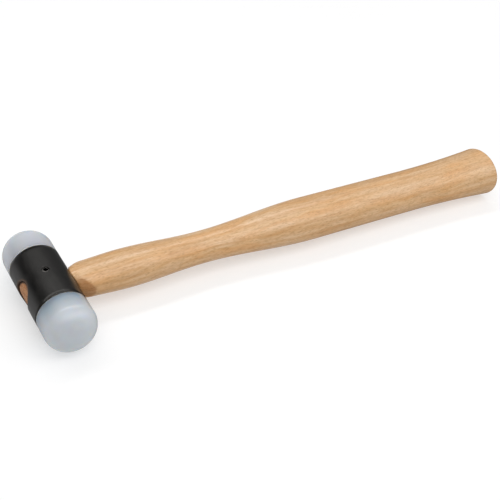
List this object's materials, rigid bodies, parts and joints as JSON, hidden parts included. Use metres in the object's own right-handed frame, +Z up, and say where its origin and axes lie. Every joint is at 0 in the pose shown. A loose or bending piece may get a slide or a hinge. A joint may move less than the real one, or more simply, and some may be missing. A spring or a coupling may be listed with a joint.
{
  "type": "soft face hammer",
  "caption": "Small soft face hammer with a black steel head tube, plug-in nylon faces and an oval wooden handle locked by a spring pin.",
  "frame": {"origin": "under the middle of the hammer as it lies on its side, on the surface that it lies on", "axes": "+X along the handle from the head to the butt, Y along the head from the front face to the rear face, +Z up"},
  "size_m": [0.2522, 0.0642, 0.023],
  "materials": {
    "black_steel": "satin black lacquer",
    "nylon": "milky, slightly translucent nylon",
    "beech": "clear satin lacquer on pale beech",
    "pin_steel": "dark spring steel"
  },
  "bodies": {
    "hammer": {"head_tube": "black_steel", "handle": "beech", "lock_pin": "pin_steel"},
    "front_plug": {"front_face": "nylon"},
    "rear_plug": {"rear_face": "nylon"}
  },
  "joints": [
    {"name": "front_face_slide", "type": "slide", "parent": "hammer", "child": "front_plug", "axis": [0, -1, 0], "range_m": [0, 0.01]},
    {"name": "rear_face_slide", "type": "slide", "parent": "hammer", "child": "rear_plug", "axis": [0, 1, 0], "range_m": [0, 0.01]}
  ]
}
